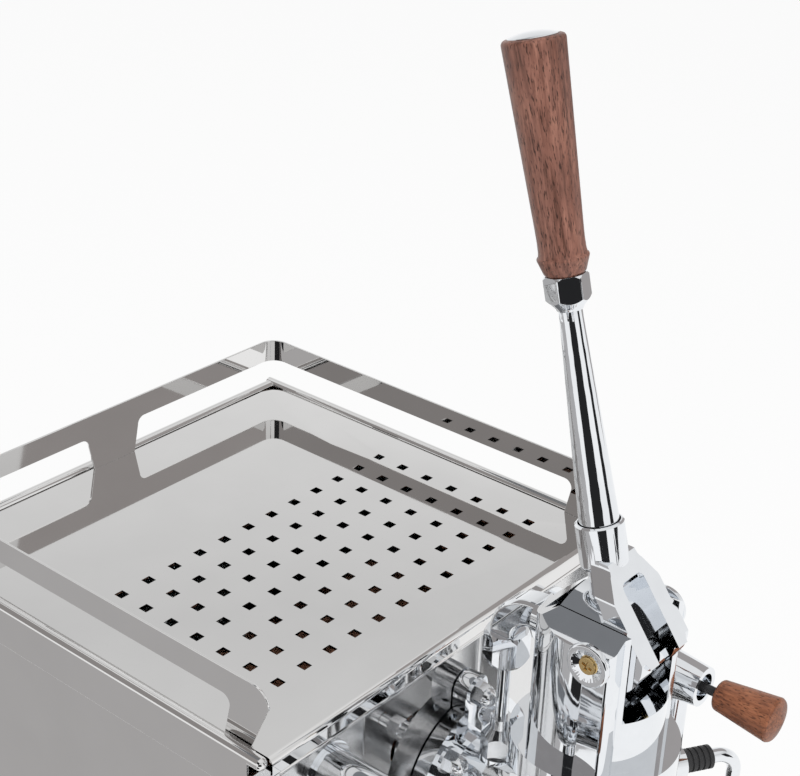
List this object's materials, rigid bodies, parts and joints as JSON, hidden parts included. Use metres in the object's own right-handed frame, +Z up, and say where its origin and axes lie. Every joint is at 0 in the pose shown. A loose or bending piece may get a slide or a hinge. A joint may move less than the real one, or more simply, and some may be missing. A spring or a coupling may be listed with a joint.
{
  "type": "lever espresso machine",
  "caption": "Countertop espresso machine in mirror steel with a railed cup shelf, spring lever group, joystick steam and water taps, filter holder and drip tray.",
  "frame": {"origin": "on the counter, in the middle of the machine's outline seen from above, with the filter holder locked", "axes": "+Z up, -Y towards the person at the lever, +X to that person's right"},
  "size_m": [0.342, 0.626, 0.7284],
  "materials": {
    "mirror_steel": "mirror polished",
    "chrome": "polished",
    "black_rubber": "matte",
    "black_plastic": "satin",
    "black_metal": "satin",
    "bare_steel": "machined",
    "brass": "machined",
    "copper_shell": "satin",
    "clear_plastic": "gloss",
    "dark_wood": "oiled",
    "red_wood": "oiled"
  },
  "bodies": {
    "machine": {"base_pan": "mirror_steel", "feet": "black_rubber", "left_panel": "mirror_steel", "right_panel": "mirror_steel", "back_panel": "mirror_steel", "rim_left": "mirror_steel", "rim_right": "mirror_steel", "rim_back": "mirror_steel", "front_panel": "mirror_steel", "front_bar": "mirror_steel", "water_tank": "clear_plastic", "boiler": "copper_shell", "heating_element": "brass", "pump": "black_plastic", "inlet_socket": "black_plastic", "gauge_case": "chrome", "switch_frame": "black_plastic", "mounting_flange": "chrome", "flange_gasket": "black_rubber", "flange_studs": "chrome", "flange_nuts": "chrome", "group_cylinder": "chrome", "group_head": "chrome", "fork_pins": "bare_steel", "pin_caps": "chrome", "main_spring": "bare_steel", "group_gasket": "black_rubber", "shower_screen": "mirror_steel", "neck_fitting": "chrome", "bypass_tube": "chrome", "elbow_nut": "chrome", "elbow": "chrome", "feed_tube": "chrome", "steam_valve": "chrome", "water_valve": "chrome"},
    "lever": {"fork": "chrome", "lever_rod": "chrome", "lever_collar": "chrome", "lever_handle": "dark_wood", "handle_cap": "chrome"},
    "piston": {"crosshead_pin": "bare_steel", "piston_rod": "bare_steel", "piston": "brass", "piston_seals": "black_rubber"},
    "steam_joystick": {"steam_stem": "black_metal", "steam_knob": "red_wood"},
    "water_joystick": {"water_stem": "black_metal", "water_knob": "red_wood"},
    "steam_pipe": {"steam_wand": "mirror_steel", "steam_grip": "black_rubber"},
    "water_pipe": {"water_wand": "mirror_steel"},
    "holder": {"filter_holder": "chrome", "holder_handle": "dark_wood", "basket": "mirror_steel", "spout": "chrome"},
    "tray": {"drip_tray": "mirror_steel"},
    "grate": {"drip_grate": "mirror_steel"},
    "shelf": {"cup_shelf": "mirror_steel", "cup_rail": "mirror_steel"},
    "switch": {"switch_rocker": "black_plastic"}
  },
  "joints": [
    {"name": "lever_pull", "type": "hinge", "parent": "machine", "child": "lever", "pos_m": [0, -0.122, 0.4115], "axis": [1, 0, 0], "range_deg": [0, 105], "stiffness_Nm_per_rad": 6, "springref_deg": -28.65},
    {"name": "piston_lift", "type": "slide", "parent": "machine", "child": "piston", "axis": [0, 0, 1], "range_m": [0, 0.02576], "deforming": ["main_spring"]},
    {"name": "steam_tap_tilt", "type": "hinge", "parent": "machine", "child": "steam_joystick", "pos_m": [0.108, -0.102, 0.316], "axis": [1, 0, 0], "range_deg": [-12, 12], "stiffness_Nm_per_rad": 1.5},
    {"name": "water_tap_tilt", "type": "hinge", "parent": "machine", "child": "water_joystick", "pos_m": [-0.108, -0.102, 0.316], "axis": [1, 0, 0], "range_deg": [-12, 12], "stiffness_Nm_per_rad": 1.5},
    {"name": "steam_wand_swing", "type": "hinge", "parent": "machine", "child": "steam_pipe", "pos_m": [0.108, -0.101, 0.246], "axis": [0.8526, -0.5225, 0], "range_deg": [-20, 40]},
    {"name": "water_wand_swing", "type": "hinge", "parent": "machine", "child": "water_pipe", "pos_m": [-0.108, -0.101, 0.246], "axis": [0.8526, 0.5225, 0], "range_deg": [-20, 40]},
    {"name": "holder_twist", "type": "hinge", "parent": "machine", "child": "holder", "pos_m": [0, -0.108, 0.2], "axis": [0, 0, 1], "range_deg": [-45, 0]},
    {"name": "tray_slide", "type": "slide", "parent": "machine", "child": "tray", "axis": [0, -1, 0], "range_m": [0, 0.15]},
    {"name": "grate_lift", "type": "slide", "parent": "tray", "child": "grate", "axis": [0, 0, 1], "range_m": [0, 0.02]},
    {"name": "shelf_lift", "type": "slide", "parent": "machine", "child": "shelf", "axis": [0, 0, 1], "range_m": [0, 0.12]},
    {"name": "switch_rock", "type": "hinge", "parent": "machine", "child": "switch", "pos_m": [-0.108, 0.011, 0.195], "axis": [1, 0, 0], "range_deg": [-12, 0]}
  ],
  "couplings": [
    {"joint": "piston_lift", "follows": "lever_pull", "m_per_rad": 0.014}
  ]
}
